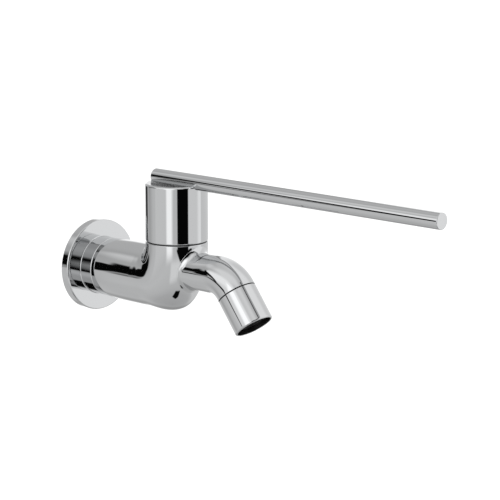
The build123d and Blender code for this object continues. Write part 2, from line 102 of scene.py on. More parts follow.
def gridFaces(rows, columns, closedRows):
    # Quads between neighbouring rows of a grid whose columns run all the way round
    i = np.arange(rows if closedRows else rows - 1)[:, None]
    j = np.arange(columns)[None]
    k, l = (i + 1) % rows, (j + 1) % columns
    corners = [i * columns + j, i * columns + l, k * columns + l, k * columns + j]
    return np.stack(corners, -1).reshape(-1, 4)


def ringGrid(points, closedRows=False):
    # points is (rows, columns, 3). The first and last rows of an open grid are each closed with a fan to
    # their middle
    rows, columns, _ = points.shape
    vertices = points.reshape(-1, 3)
    quads = gridFaces(rows, columns, closedRows)
    if closedRows:
        return vertices, quads, np.zeros((0, 3), int)
    j = np.arange(columns)
    l, last, first = (j + 1) % columns, (rows - 1) * columns, rows * columns
    vertices = np.concatenate([vertices, points[0].mean(0)[None], points[-1].mean(0)[None]])
    fans = np.concatenate([np.stack([l, j, np.full(columns, first)], -1),
                           np.stack([last + j, last + l, np.full(columns, first + 1)], -1)])
    return vertices, quads, fans


def turnedGrid(profile, columns, closed=False, centre=(0, 0, 0), along=(0, 0, 1), across=(1, 0, 0)):
    # Each profile point (radius, height) goes round the axis:
    # centre + along height + radius (across cos + other sin)
    along, across = np.array(along, float), np.array(across, float)
    other = np.cross(along, across)
    angle = np.linspace(0, turn, columns, endpoint=False)
    ring = np.cos(angle)[:, None] * across + np.sin(angle)[:, None] * other
    points = np.asarray(centre, float) + profile[:, None, 1:2] * along + profile[:, None, 0:1] * ring[None]
    return ringGrid(points, closed)


def makePiece(name, *grids):
    # Joins the grids in one smooth mesh in metres, and turns any shell that came out inside out
    vertices, faces, start = [], [], 0
    for points, quads, fans in grids:
        a, b, c = points[quads[:, 0]], points[quads[:, 1]], points[quads[:, 2]]
        d = points[quads[:, 3]]
        volume = (a * np.cross(b, c)).sum() + (a * np.cross(c, d)).sum()
        if len(fans):
            volume += (points[fans[:, 0]] * np.cross(points[fans[:, 1]], points[fans[:, 2]])).sum()
        if volume < 0:
            quads, fans = quads[:, ::-1], fans[:, ::-1]
        vertices.append(points * mm)
        faces += (quads + start).tolist() + (fans + start).tolist()
        start += len(points)
    mesh = bpy.data.meshes.new(name)
    mesh.from_pydata(np.concatenate(vertices).tolist(), [], faces)
    mesh.polygons.foreach_set("use_smooth", np.ones(len(mesh.polygons), bool))
    mesh.update()
    piece = bpy.data.objects.new(name, mesh)
    bpy.context.scene.collection.objects.link(piece)
    return piece


def cut(piece, tool, operation="DIFFERENCE"):
    # Takes the tool's solid out of the piece, or adds it, and keeps the rims crisp
    step = piece.modifiers.new("cut", "BOOLEAN")
    step.operation, step.object, step.solver = operation, tool, "EXACT"
    bpy.context.view_layer.update()
    shaped = bpy.data.meshes.new_from_object(piece.evaluated_get(bpy.context.evaluated_depsgraph_get()))
    piece.modifiers.clear()
    piece.data = shaped
    shaped.polygons.foreach_set("use_smooth", np.ones(len(shaped.polygons), bool))
    shaped.set_sharp_from_angle(angle=radians(crispDegrees))
    bpy.data.objects.remove(tool)


# Materials

def linear(code):
    # sRGB hex to linear light
    s = np.array([int(code[i:i + 2], 16) for i in (1, 3, 5)]) / 255
    return (*np.where(s <= 0.04045, s / 12.92, ((s + 0.055) / 1.055) ** 2.4), 1.0)


def add(tree, kind, settings=None, **links):
    # One node with its settings, and each input given a value or linked to another node's output. An input is
    # named with _ for its spaces, or by its number as n0, n1 and so on
    node = tree.nodes.new(kind)
    for key, value in (settings or {}).items():
        setattr(node, key, value)
    for key, value in links.items():
        numbered = key[0] == "n" and key[1:].isdigit()
        socket = node.inputs[int(key[1:]) if numbered else key.replace("_", " ")]
        if isinstance(value, bpy.types.NodeSocket):
            tree.links.new(value, socket)
        else:
            socket.default_value = value
    return node


def newMaterial(name):
    material = bpy.data.materials.new(name)
    material.use_nodes = True
    tree = material.node_tree
    shader = tree.nodes["Principled BSDF"]
    place = add(tree, "ShaderNodeTexCoord").outputs["Object"]
    return material, tree, shader, place


chrome ={"colour": "#c9cacb", "roughness": (0.02, 0.042), "hazeMm": 3.0, "hazeDetail": 3.0,
          "waveMm": 14.0, "waveDetail": 1.0, "waveStrength": 0.05, "waveDepthMm": 0.05,
          "lineMm": 0.35, "lineStretch": 0.02, "lineStrength": 0.03, "lineDepthMm": 0.002}


def chromePlate(name, linesAlong=None):
    # Bright chrome plate over nickel on polished brass: a near mirror. Buffing leaves a faint long wave in
    # the reflections and a slight haze that comes and goes, and a drawn bar keeps very fine lines
    material, tree, shader, place = newMaterial(name)
    shader.inputs["Base Color"].default_value = linear(chrome["colour"])
    shader.inputs["Metallic"].default_value = 1.0
    haze = add(tree, "ShaderNodeTexNoise", None, Vector=place, Scale=1 / (chrome["hazeMm"] * mm),
               Detail=chrome["hazeDetail"])
    low, high = chrome["roughness"]
    rough = add(tree, "ShaderNodeMapRange", None, Value=haze.outputs["Fac"], To_Min=low, To_Max=high)
    tree.links.new(rough.outputs["Result"], shader.inputs["Roughness"])
    wave = add(tree, "ShaderNodeTexNoise", None, Vector=place, Scale=1 / (chrome["waveMm"] * mm),
               Detail=chrome["waveDetail"])
    bump = add(tree, "ShaderNodeBump", None, Height=wave.outputs["Fac"], Strength=chrome["waveStrength"],
               Distance=chrome["waveDepthMm"] * mm)
    if linesAlong:
        stretch = tuple(chrome["lineStretch"] if axis == linesAlong else 1.0 for axis in "XYZ")
        lined = add(tree, "ShaderNodeMapping", None, Vector=place, Scale=stretch)
        lines = add(tree, "ShaderNodeTexNoise", None, Vector=lined.outputs["Vector"],
                    Scale=1 / (chrome["lineMm"] * mm), Detail=2.0)
        bump = add(tree, "ShaderNodeBump", None, Height=lines.outputs["Fac"], Strength=chrome["lineStrength"],
                   Distance=chrome["lineDepthMm"] * mm, Normal=bump.outputs["Normal"])
    tree.links.new(bump.outputs["Normal"], shader.inputs["Normal"])
    return material


satin = {"grainMm": 0.8, "grainDetail": 3.0, "roughness": (0.13, 0.19)}


def satinPlate():
    # Chrome plate over a faced end that was brushed and not buffed: the same grey, with blurred reflections
    material, tree, shader, place = newMaterial("satinPlate")
    shader.inputs["Base Color"].default_value = linear(chrome["colour"])
    shader.inputs["Metallic"].default_value = 1.0
    grain = add(tree, "ShaderNodeTexNoise", None, Vector=place, Scale=1 / (satin["grainMm"] * mm),
                Detail=satin["grainDetail"])
    low, high = satin["roughness"]
    rough = add(tree, "ShaderNodeMapRange", None, Value=grain.outputs["Fac"], To_Min=low, To_Max=high)
    tree.links.new(rough.outputs["Result"], shader.inputs["Roughness"])
    return material


# Painted shade: dark greys for mouths and grooves. The higher roughness stands for the real plate that was
# never polished
dullPlateWithShade = {"colours": ("#3c3c3d", "#4b4a49"), "patchMm": 1.2, "patchDetail": 3.0, "roughness": 0.38}


def shadedUnpolishedPlate():
    # Thin plate on brass that the buffing wheel never reached, as inside a mouth or a groove, so it is duller
    # than the outside.
    # Its dark grey colours are painted shade, for the little light that gets in there
    material, tree, shader, place = newMaterial("shadedUnpolishedPlate")
    patches = add(tree, "ShaderNodeTexNoise", None, Vector=place, Scale=1 / (dullPlateWithShade["patchMm"] * mm),
                  Detail=dullPlateWithShade["patchDetail"])
    first, second = dullPlateWithShade["colours"]
    mixed = add(tree, "ShaderNodeMix", {"data_type": "RGBA"}, Factor=patches.outputs["Fac"],
                n6=linear(first), n7=linear(second))
    tree.links.new(mixed.outputs[2], shader.inputs["Base Color"])
    shader.inputs["Metallic"].default_value = 1.0
    shader.inputs["Roughness"].default_value = dullPlateWithShade["roughness"]
    return material


brass = {"colours": ("#d8b873", "#c9a45c"), "tintMm": 4.0, "roughness": 0.32, "ringMm": 2.0, "ringWaver": 0.4,
         "ringStrength": 0.2, "ringDepthMm": 0.01}


def machinedBrass():
    # Free-cutting brass, turned and left plain: warm yellow with fine tool rings
    material, tree, shader, place = newMaterial("machinedBrass")
    shader.inputs["Metallic"].default_value = 1.0
    tint = add(tree, "ShaderNodeTexNoise", None, Vector=place, Scale=1 / (brass["tintMm"] * mm), Detail=2.0)
    first, second = brass["colours"]
    mixed = add(tree, "ShaderNodeMix", {"data_type": "RGBA"}, Factor=tint.outputs["Fac"],
                n6=linear(first), n7=linear(second))
    tree.links.new(mixed.outputs[2], shader.inputs["Base Color"])
    shader.inputs["Roughness"].default_value = brass["roughness"]
    rings = add(tree, "ShaderNodeTexWave", {"bands_direction": "Z"}, Vector=place,
                Scale=1 / (brass["ringMm"] * mm), Distortion=brass["ringWaver"])
    bump = add(tree, "ShaderNodeBump", None, Height=rings.outputs["Fac"], Strength=brass["ringStrength"],
               Distance=brass["ringDepthMm"] * mm)
    tree.links.new(bump.outputs["Normal"], shader.inputs["Normal"])
    return material


stainless = {"colour": "#b9b8b4", "hazeMm": 1.5, "hazeDetail": 3.0, "roughness": (0.25, 0.4)}


def plainStainless():
    # Stainless steel, cold headed or woven from bright wire: grey with a soft sheen
    material, tree, shader, place = newMaterial("plainStainless")
    shader.inputs["Base Color"].default_value = linear(stainless["colour"])
    shader.inputs["Metallic"].default_value = 1.0
    haze = add(tree, "ShaderNodeTexNoise", None, Vector=place, Scale=1 / (stainless["hazeMm"] * mm),
               Detail=stainless["hazeDetail"])
    low, high = stainless["roughness"]
    rough = add(tree, "ShaderNodeMapRange", None, Value=haze.outputs["Fac"], To_Min=low, To_Max=high)
    tree.links.new(rough.outputs["Result"], shader.inputs["Roughness"])
    return material


# Rubber is pressed and matt black, acetal has a waxy sheen, and alumina is ivory and lapped flat
rubber = {"colours": ("#161616", "#1e1d1c"), "roughness": 0.62, "grainMm": 0.4, "depthMm": 0.01, "ior": 1.52}
acetal = {"colours": ("#18191a", "#202122"), "roughness": 0.34, "grainMm": 0.8, "depthMm": 0.004, "ior": 1.48}
alumina = {"colours": ("#efe9dd", "#e6dfd0"), "roughness": 0.12, "grainMm": 0.3, "depthMm": 0.001,
           "ior": 1.76}
dull = {"patchGrains": 6, "bumpStrength": 0.3}


def dullSolid(name, p):
    # Moulded or pressed solid that isn't metal: two close tints in soft patches over a fine surface grain
    material, tree, shader, place = newMaterial(name)
    patches = add(tree, "ShaderNodeTexNoise", None, Vector=place,
                  Scale=1 / (dull["patchGrains"] * p["grainMm"] * mm), Detail=2.0)
    first, second = p["colours"]
    mixed = add(tree, "ShaderNodeMix", {"data_type": "RGBA"}, Factor=patches.outputs["Fac"],
                n6=linear(first), n7=linear(second))
    tree.links.new(mixed.outputs[2], shader.inputs["Base Color"])
    shader.inputs["Roughness"].default_value = p["roughness"]
    shader.inputs["IOR"].default_value = p["ior"]
    grain = add(tree, "ShaderNodeTexNoise", None, Vector=place, Scale=1 / (p["grainMm"] * mm), Detail=2.0)
    bump = add(tree, "ShaderNodeBump", None, Height=grain.outputs["Fac"], Strength=dull["bumpStrength"],
               Distance=p["depthMm"] * mm)
    tree.links.new(bump.outputs["Normal"], shader.inputs["Normal"])
    return material


print("materials")
castChrome = chromePlate("castChromePlate")
turnedChrome = chromePlate("turnedChromePlate")
drawnChrome = chromePlate("drawnChromePlate", linesAlong="Y")
# Plate painted dark as shade, for the nozzle's mouth, the seam's groove and the spout's end inside the nozzle
shadedDullPlate = shadedUnpolishedPlate()
finishes = {
    "chrome_cast": castChrome, "chrome_turned": turnedChrome, "brass_inner": machinedBrass(),
    "stainless_inner": plainStainless(), "seal_rubber": dullSolid("nitrileRubber", rubber),
    "acetal_dark": dullSolid("mouldedAcetal", acetal), "ceramic_disc": dullSolid("lappedAlumina", alumina)}
for entry in frame["record"]["subparts"]:
    mesh = frame["nodes"][entry["node"]].data
    mesh.materials.clear()
    mesh.materials.append(finishes[entry["material_slot"]])


def dress(piece, finish, body, slotName, *nodes):
    # Gives a piece its finish and the body that it rides on, and hides the CAD nodes that it stands for;
    # slotName is not used
    piece.data.materials.append(finish)
    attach(piece, body)
    if nodes:
        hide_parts(*nodes)
    print("piece", piece.name, len(piece.data.polygons))


def finishZones(piece, finish, place, along, *zones):
    # Faces in a zone (from, to, radius) of lengths along an axis and distances from it take the second finish
    faces = piece.data.polygons
    middles = np.empty(3 * len(faces))
    faces.foreach_get("center", middles)
    away = middles.reshape(-1, 3) / mm - place
    down = away @ along
    across = np.linalg.norm(away - down[:, None] * along, axis=1)
    inside = sum((down > start) & (down < end) & (across < radius) for start, end, radius in zones) > 0
    piece.data.materials.append(finish)
    faces.foreach_set("material_index", inside.astype(int))


# Wall plate: disc, boss and hollow back, all edges broken
plate = {"radius": 30.0, "thickness": 6.0, "edge": 1.0, "rim": 4.0, "web": 2.0, "bossRadius": 19.0,
         "bossFront": 16.3, "bossEdge": 0.7, "bossRoot": 0.6, "bossBore": 16.55, "smallEdge": 0.2,
         "backEdge": 0.25, "hollowRoot": 0.5, "columns": 288}


def buildPlate(p):
    # Profile (radius, distance from the wall) turned about the barrel's axis
    hollow, back = p["radius"] - p["rim"], p["thickness"] - p["web"]
    profile = roundedProfile([
        (hollow, 0, p["smallEdge"]), (p["radius"], 0, p["backEdge"]),
        (p["radius"], p["thickness"], p["edge"]), (p["bossRadius"], p["thickness"], p["bossRoot"]),
        (p["bossRadius"], p["bossFront"], p["bossEdge"]),
        (p["bossBore"], p["bossFront"], p["smallEdge"]), (p["bossBore"], back, p["smallEdge"]),
        (hollow, back, p["hollowRoot"])], closed=True)
    return turnedGrid(profile, p["columns"], True, along=(0, -1, 0))


dress(makePiece("wallPlate", buildPlate(plate)), turnedChrome, "tap", "chrome_turned", "wall_flange")


# Tap body: inlet tail, barrel, bend, nose and neck on one grid of rings, and the spout on another
casting = {
    "columns": 320, "barrelRows": 90, "fanRows": 200,
    "stations": ((16.4, 19.0), (25.0, 19.45), (34.0, 19.7), (43.0, 19.75), (52.0, 19.75)),  # distance, radius
    "reach": 77.0, "neckRadius": 20.0, "neckTop": 25.7, "innerBend": 5.0, "noseRadius": 17.9,
    "noseDistance": 72.8, "noseDrop": 2.1, "flatAngle": 12.0, "noseAngles": (25, 36, 46),
    "upperFan": ((60, 47.8), (75, 45.7)),   # angle, distance from the bend's centre
    "neckBore": 12.1, "neckBoreDepth": 2.0, "topEdge": 0.35, "smallEdge": 0.2,
    "startEdge": 0.3, "startGap": 0.1, "startGuide": (0.05, 1.0)}
inlet = {"radius": 10.48, "length": 15.0, "bore": 7.0, "boreEnd": 5.0, "boreTaper": 5.0, "boreEdge": 0.5,
         "tipEdge": 0.3, "chamfer": 1.0, "pitch": 1.814, "threadDepth": 1.16, "threadSteepness": 1.25,
         "threadFrom": -1.0, "threadInset": 0.01, "threadShort": 0.4, "threadRows": 150,
         "tailRadius": 16.5, "tailBack": 3.0, "tailLead": 0.3, "tailRoot": 0.15, "tailEdge": 0.3,
         "stepRoot": 0.1, "chamber": 12.0, "chamberEnd": 30.0}
spout = {"radius": 12.7, "slimRadius": 12.05, "start": 84.0, "startHeight": 8.3, "corner": 122.5,
         "height": 8.75, "bend": 20.0, "slope": 52.25, "seam": 11.4, "root": 4.0, "slimEnd": 101.0,
         "swellEnd": 131.0, "seamEdge": 0.2, "seamLead": 1.0, "thread": 10.95, "threadLength": 8.2,
         "threadRoot": 0.1, "threadEdge": 0.3, "bore": 8.5, "boreBehind": 6.0, "shadeFrom": -0.1,
         "shadeTo": 12.0, "shadeInset": 0.25, "columns": 288, "rootRows": 22, "runRows": 40, "bendRows": 90,
         "guessAngle": 65, "guessSwing": 20, "guessAround": 0.7,   # first guess on the neck
         "newtonRounds": 14, "newtonNudge": 1e-3, "newtonLargest": (8, 0.2),
         "closeAhead": 4.0, "closeShare": 0.8, "closeBack": 3.0, "closeLast": 0.01}   # rows inside the neck

barrelRadius = casting["stations"][-1][1]
bendDistance = casting["reach"] - casting["neckRadius"] - casting["innerBend"]
bendHeight = barrelRadius + casting["innerBend"]
slope = radians(spout["slope"])


def noseOutside(angle):
    # From the bend's centre to the far side of the round nose, along a line at this angle from straight down
    across = casting["noseDistance"] - bendDistance
    down = bendHeight + casting["noseDrop"]
    away, off = np.hypot(across, down), radians(angle) - np.arctan2(across, down)
    return away * cos(off) + sqrt(casting["noseRadius"]**2 - (away * sin(off))**2)


fanKnots = [0.0, casting["flatAngle"], *casting["noseAngles"], *[a for a, _ in casting["upperFan"]], 90.0]
fanOutside = [bendHeight + barrelRadius, (bendHeight + barrelRadius) / cos(radians(casting["flatAngle"])),
              *[noseOutside(a) for a in casting["noseAngles"]], *[d for _, d in casting["upperFan"]],
              2 * casting["neckRadius"] + casting["innerBend"]]


def elbowPoint(angle, around):
    # Ellipse of the fan at an angle from straight down: middle + half height cos(around) outwards
    # + half width sin(around) sideways. The outside follows a spline over the fan's angles
    outside = splineThrough(fanKnots, fanOutside, angle, 0.0, 0.0)
    a = np.radians(angle)
    half = (outside - casting["innerBend"]) / 2
    width = barrelRadius + (casting["neckRadius"] - barrelRadius) * angle / 90
    out = (outside + casting["innerBend"]) / 2 + half * np.cos(around)
    y, z = -bendDistance - out * np.sin(a), bendHeight - out * np.cos(a)
    return np.stack([width * np.sin(around), y, z], -1)


def elbowNormal(angle, around):
    # Cross product of the two directions of the grid, from small steps
    step = 1e-3
    alongFan = elbowPoint(angle + step, around) - elbowPoint(angle - step, around)
    roundIt = elbowPoint(angle, around + step) - elbowPoint(angle, around - step)
    normal = np.cross(alongFan, roundIt)
    normal /= np.linalg.norm(normal, axis=-1, keepdims=True)
    outwards = elbowPoint(angle, around) - elbowPoint(angle, around + pi)
    return normal * np.sign((normal * outwards).sum(-1, keepdims=True))


def ringsAbout(distance, radius, around):
    # Circles across the barrel's axis, starting from straight down
    distance, radius = np.broadcast_arrays(np.asarray(distance, float), np.asarray(radius, float))
    return np.stack([radius * np.sin(around), -distance + 0 * around, -radius * np.cos(around)], -1)


def threadRadius(distance, around):
    # Parallel pipe thread: a sine of distance / pitch + turn, steepened by the smooth step to ridges of
    # height 0 to 1. It fades out over one pitch before the plate, and a chamfer cuts it at the tail's end
    p = inlet
    wave = 0.5 + 0.5 * np.sin(turn * distance / p["pitch"] + around)
    ridge = easeBetween(0.5 + p["threadSteepness"] * (wave - 0.5))
    fade = easeBetween((p["threadFrom"] - distance) / p["pitch"])
    chamfer = np.clip((p["length"] + distance) / p["chamfer"], 0, 1)
    top = p["radius"] - p["chamfer"] * (1 - chamfer)
    return np.minimum(p["radius"] - p["threadDepth"] * fade * (1 - ridge), top)


def buildCastingShell():
    # Rows of one grid: the inlet's bore from its far end back to the tail's tip, the thread, the tail inside
    # the plate, the barrel's circles, the elbow's ellipses, and the neck's rim with a shallow bore
    p, q = casting, inlet
    around = np.linspace(0, turn, p["columns"], endpoint=False)[None]
    tip, taperEnd = -q["length"], q["boreEnd"] + q["boreTaper"]
    bore = roundedProfile([
        (0, q["chamberEnd"], 0), (q["chamber"], q["chamberEnd"], q["boreEdge"]),
        (q["chamber"], taperEnd, q["boreEdge"]), (q["bore"], q["boreEnd"], q["boreEdge"]),
        (q["bore"], tip, q["tipEdge"]), (q["radius"] - q["chamfer"], tip, 0)])
    bore[0, 0] = tipRadius
    threads = np.linspace(tip + q["threadInset"], q["tailBack"] - q["threadShort"], q["threadRows"])[:, None]
    first, firstRadius = p["stations"][0]
    guideOut, guideOn = p["startGuide"]
    tail = roundedProfile([
        (q["radius"], q["tailBack"] - q["tailLead"], 0), (q["radius"], q["tailBack"], q["tailRoot"]),
        (q["tailRadius"], q["tailBack"], q["tailEdge"]), (q["tailRadius"], first, q["stepRoot"]),
        (firstRadius, first, p["startEdge"]), (firstRadius + guideOut, first + guideOn, 0)])[:-1]
    barrelD = np.linspace(first + p["startEdge"] + p["startGap"], bendDistance, p["barrelRows"])[:-1]
    barrelR = splineThrough(*zip(*p["stations"]), barrelD, None, 0.0)
    fan = np.linspace(0, 90, p["fanRows"])[:, None]
    neckFloor = p["neckTop"] - p["neckBoreDepth"]
    top = roundedProfile([
        (p["neckRadius"], bendHeight, 0), (p["neckRadius"], p["neckTop"], p["topEdge"]),
        (p["neckBore"], p["neckTop"], p["smallEdge"]), (p["neckBore"], neckFloor, p["smallEdge"]),
        (tipRadius, neckFloor, 0)])[1:]
    neck = np.stack([top[:, :1] * np.sin(around), -p["reach"] - top[:, :1] * np.cos(around),
                     top[:, 1:] + 0 * around], -1)
    return ringGrid(np.concatenate([
        ringsAbout(bore[:, 1:], bore[:, :1], around),
        ringsAbout(threads, threadRadius(threads, around), around),
        ringsAbout(tail[:, 1:], tail[:, :1], around),
        ringsAbout(barrelD[:, None], barrelR[:, None], around),
        elbowPoint(fan + 0 * around, around + 0 * fan), neck]))


rise = atan2(spout["height"] - spout["startHeight"], spout["corner"] - spout["start"])
bendCut = spout["bend"] * tan((slope + rise) / 2)   # from the corner back to either end of the arc
bendFrom = spout["start"] + (spout["corner"] - spout["start"]) / cos(rise) - bendCut
bendTo = bendFrom + spout["bend"] * (slope + rise)
seamAlong = bendTo + spout["seam"] - bendCut


def centreLine(s):
    # Middle of the spout at a length s, counted on from its start, and its upward direction: a straight run
    # that rises a little, an arc whose heading falls from the rise to the slope, and a straight run down
    p = spout
    heading = rise - np.clip((s - bendFrom) / p["bend"], 0, slope + rise)
    first, past = np.minimum(s, bendFrom) - p["start"], np.maximum(s - bendTo, 0)
    out = p["start"] + first * cos(rise) + p["bend"] * (sin(rise) - np.sin(heading)) + past * cos(slope)
    z = p["startHeight"] + first * sin(rise) + p["bend"] * (np.cos(heading) - cos(rise)) - past * sin(slope)
    return np.stack([0 * z, -out, z], -1), np.stack([0 * z, np.sin(heading), np.cos(heading)], -1)


def spoutRadius(s):
    # Slim where it leaves the neck, swelling by a smooth step of the length to the nozzle's size
    p = spout
    grown = easeBetween((s - p["slimEnd"]) / (p["swellEnd"] - p["slimEnd"]))
    return p["slimRadius"] + (p["radius"] - p["slimRadius"]) * grown


def spoutRings(s, r, phi):
    # Circles of radius r across the centre line, from their top
    middle, upward = centreLine(s)
    r, phi = r[:, None, None], phi[None, :, None]
    return middle[:, None] + r * (np.sin(phi) * np.array([1.0, 0, 0]) + np.cos(phi) * upward[:, None])


def buildSpoutShell():
    # A ball of the root's radius rolls in the corner between neck and spout. Newton steps find, for each
    # column, the place on the neck whose offset surface meets the ball's path. Then arc, tube and seam follow
    p = spout
    phi = np.linspace(0, turn, p["columns"], endpoint=False)
    side, up = np.sin(phi), np.cos(phi)
    begin, upward = centreLine(np.array([p["start"]]))
    ahead = np.array([0, -cos(rise), sin(rise)])
    target = (p["slimRadius"] + p["root"]) * np.stack([side, up], -1)
    state = np.stack([p["guessAngle"] + p["guessSwing"] * up, p["guessAround"] * side], -1)

    def ballMiddle(state):
        return elbowPoint(state[:, 0], state[:, 1]) + p["root"] * elbowNormal(state[:, 0], state[:, 1])

    def missedBy(state):
        away = ballMiddle(state) - begin
        return np.stack([away[:, 0], away @ upward[0]], -1) - target

    nudge, largest = p["newtonNudge"], np.array(p["newtonLargest"])
    for _ in range(p["newtonRounds"]):
        error = missedBy(state)
        nudged = [missedBy(state + move) - error for move in ((nudge, 0), (0, nudge))]
        slopes = np.stack(nudged, -1) / nudge
        state = state - np.clip(np.linalg.solve(slopes, error[:, :, None])[:, :, 0], -largest, largest)
    onNeck, ball = elbowPoint(state[:, 0], state[:, 1]), ballMiddle(state)
    reached = (ball - begin) @ ahead
    onSpout = begin + reached[:, None] * ahead + p["slimRadius"] * (
        side[:, None] * np.array([1.0, 0, 0]) + up[:, None] * upward)
    start, end = onNeck - ball, onSpout - ball
    sweep = np.arccos((start * end).sum(-1, keepdims=True) / p["root"]**2)
    t = np.linspace(0, 1, p["rootRows"])[:, None, None]
    arc = ball + (np.sin((1 - t) * sweep) * start + np.sin(t * sweep) * end) / np.sin(sweep)
    # Two rows inside the neck close the shell: one drawn in and back from the arc's foot, one almost a point
    middle = centreLine(np.array([p["start"] + p["closeAhead"]]))[0]
    away = onNeck - middle
    inside = middle + p["closeShare"] * away * (1, 0, 1) + away * (0, 1, 0) + (0, p["closeBack"], 0)
    deep = middle + p["closeLast"] * away * (1, 0, 1)
    t = np.linspace(0, 1, p["runRows"])[1:, None, None]
    runEnd = spoutRings(np.array([bendFrom]), np.array([p["slimRadius"]]), phi)[0]
    run = onSpout + t * (runEnd - onSpout)
    grown = spoutRadius(p["start"] + (run - begin) @ ahead) / p["slimRadius"]
    axisPoint = begin + ((run - begin) @ ahead)[..., None] * ahead
    run = axisPoint + grown[..., None] * (run - axisPoint)
    seamLead, boreEnd = seamAlong - p["seamLead"], seamAlong - p["boreBehind"]
    threadEnd, edge = seamAlong + p["threadLength"], p["threadEdge"]
    seam = roundedProfile([
        (p["radius"], seamLead, 0), (p["radius"], seamAlong, p["seamEdge"]),
        (p["thread"], seamAlong, p["threadRoot"]), (p["thread"], threadEnd, edge),
        (p["bore"], threadEnd, edge), (p["bore"], boreEnd, edge), (tipRadius, boreEnd, 0)])
    bendS = np.linspace(bendFrom, seamLead, p["bendRows"])[1:-1]
    s, r = np.concatenate([bendS, seam[:, 1]]), np.concatenate([spoutRadius(bendS), seam[:, 0]])
    return ringGrid(np.concatenate([deep[None], inside[None], arc, run, spoutRings(s, r, phi)]))


tapCasting = makePiece("tapCasting", buildCastingShell(), buildSpoutShell())
dress(tapCasting, castChrome, "tap", "chrome_cast", "tap_body")
seamPlace = centreLine(np.array([seamAlong]))[0][0]
downSlope = np.array([0, -cos(slope), -sin(slope)])
# Painted shade: the spout's thread and bore inside the nozzle take the dark plate
finishZones(tapCasting, shadedDullPlate, seamPlace, downSlope,
            (spout["shadeFrom"], spout["shadeTo"], spout["radius"] - spout["shadeInset"]))


# Nozzle: a plain sleeve that hides the aerator
nozzle = {"length": 24.2, "gap": 0.62, "edge": 1.0, "seamEdge": 0.25, "smallEdge": 0.2,
          "mouthRadius": 11.4, "mouthDepth": 4.0, "mouthRoot": 0.4,
          "lipRadius": 9.4, "lipHeight": 1.3, "lipEdge": 0.3, "bore": 10.6,
          "threadBore": 11.05, "threadEnd": 9.2, "threadEdge": 0.15, "threadRoot": 0.1, "columns": 288,
          "mouthInset": 0.3, "mouthMargin": 0.25, "seamMargin": 0.1, "seamInset": 0.3}   # zones painted dark as shade, on plate that the wheel never polished


def buildNozzle(p):
    # Profile (radius, distance down the slope from the seam) turned about the slope
    seat, small = p["length"] - p["mouthDepth"], p["smallEdge"]
    profile = roundedProfile([
        (p["threadBore"], p["gap"], p["threadEdge"]), (spout["radius"], p["gap"], p["seamEdge"]),
        (spout["radius"], p["length"], p["edge"]), (p["mouthRadius"], p["length"], small),
        (p["mouthRadius"], seat, p["mouthRoot"]), (p["lipRadius"], seat, p["lipEdge"]),
        (p["lipRadius"], seat - p["lipHeight"], small), (p["bore"], seat - p["lipHeight"], small),
        (p["bore"], p["threadEnd"], small), (p["threadBore"], p["threadEnd"], p["threadRoot"])], closed=True)
    return turnedGrid(profile, p["columns"], True, seamPlace, downSlope)


nozzleSleeve = makePiece("nozzleSleeve", buildNozzle(nozzle))
dress(nozzleSleeve, turnedChrome, "tap", "chrome_turned", "aerator_collar")
# Painted shade: the inside of the mouth and the walls of the seam's groove take the dark plate
mouthShadeZone = (0, nozzle["length"] - nozzle["mouthInset"], nozzle["mouthRadius"] + nozzle["mouthMargin"])
seamShadeZone = (0, nozzle["gap"] + nozzle["seamMargin"], spout["radius"] - nozzle["seamInset"])
finishZones(nozzleSleeve, shadedDullPlate, seamPlace, downSlope, mouthShadeZone, seamShadeZone)


# Lever hub: a deep cup with a centre boss, a round seat for the bar and a hole for the grub screw
hub = {"radius": 20.0, "bottom": 26.3, "top": 63.0, "bore": 17.2, "roof": 57.0, "topEdge": 1.2,
       "bottomEdge": 0.8, "boreEdge": 0.25, "roofRoot": 0.8, "bossRadius": 9.0, "bossBottom": 38.6,
       "bossEdge": 0.3, "insertRadius": 6.0, "insertTop": 51.4, "insertEdge": 0.2, "satinMargin": 0.02,
       "grubHeight": 45.0, "grubHole": 2.55, "grubHoleFrom": 5.5, "grubHoleLength": 20.0,
       "grubBoss": 4.6, "grubBossFrom": 8.2, "grubBossLength": 9.6, "edgeSteps": 14, "columns": 320}
bar = {"radius": 5.0, "height": 65.25, "length": 230.0, "behind": 18.6, "edge": 0.5, "edgeSteps": 12,
       "columns": 192, "seatGap": 0.02, "seatFrom": -30.0, "seatLength": 60.0}
reach = casting["reach"]
leverPlace = (0, -reach, 0)


def buildHub(p):
    # Profile (radius, height) turned about the lever's axis, closed at its middle on both sides
    profile = roundedProfile([
        (tipRadius, p["insertTop"], 0), (p["insertRadius"], p["insertTop"], p["insertEdge"]),
        (p["insertRadius"], p["bossBottom"], p["insertEdge"]),
        (p["bossRadius"], p["bossBottom"], p["bossEdge"]),
        (p["bossRadius"], p["roof"], p["roofRoot"]), (p["bore"], p["roof"], p["roofRoot"]),
        (p["bore"], p["bottom"], p["boreEdge"]), (p["radius"], p["bottom"], p["bottomEdge"]),
        (p["radius"], p["top"], p["topEdge"]), (tipRadius, p["top"], 0)], arcSteps=p["edgeSteps"])
    return turnedGrid(profile, p["columns"], centre=leverPlace)


def roundTool(name, radius, start, height, length, columns=96):
    # Plain round bar that runs towards the wall, from a place counted that way from the lever's axis
    profile = np.array([(tipRadius, 0), (radius, 0), (radius, length), (tipRadius, length)], float)
    return makePiece(name, turnedGrid(profile, columns, centre=(0, start - reach, height), along=(0, 1, 0)))


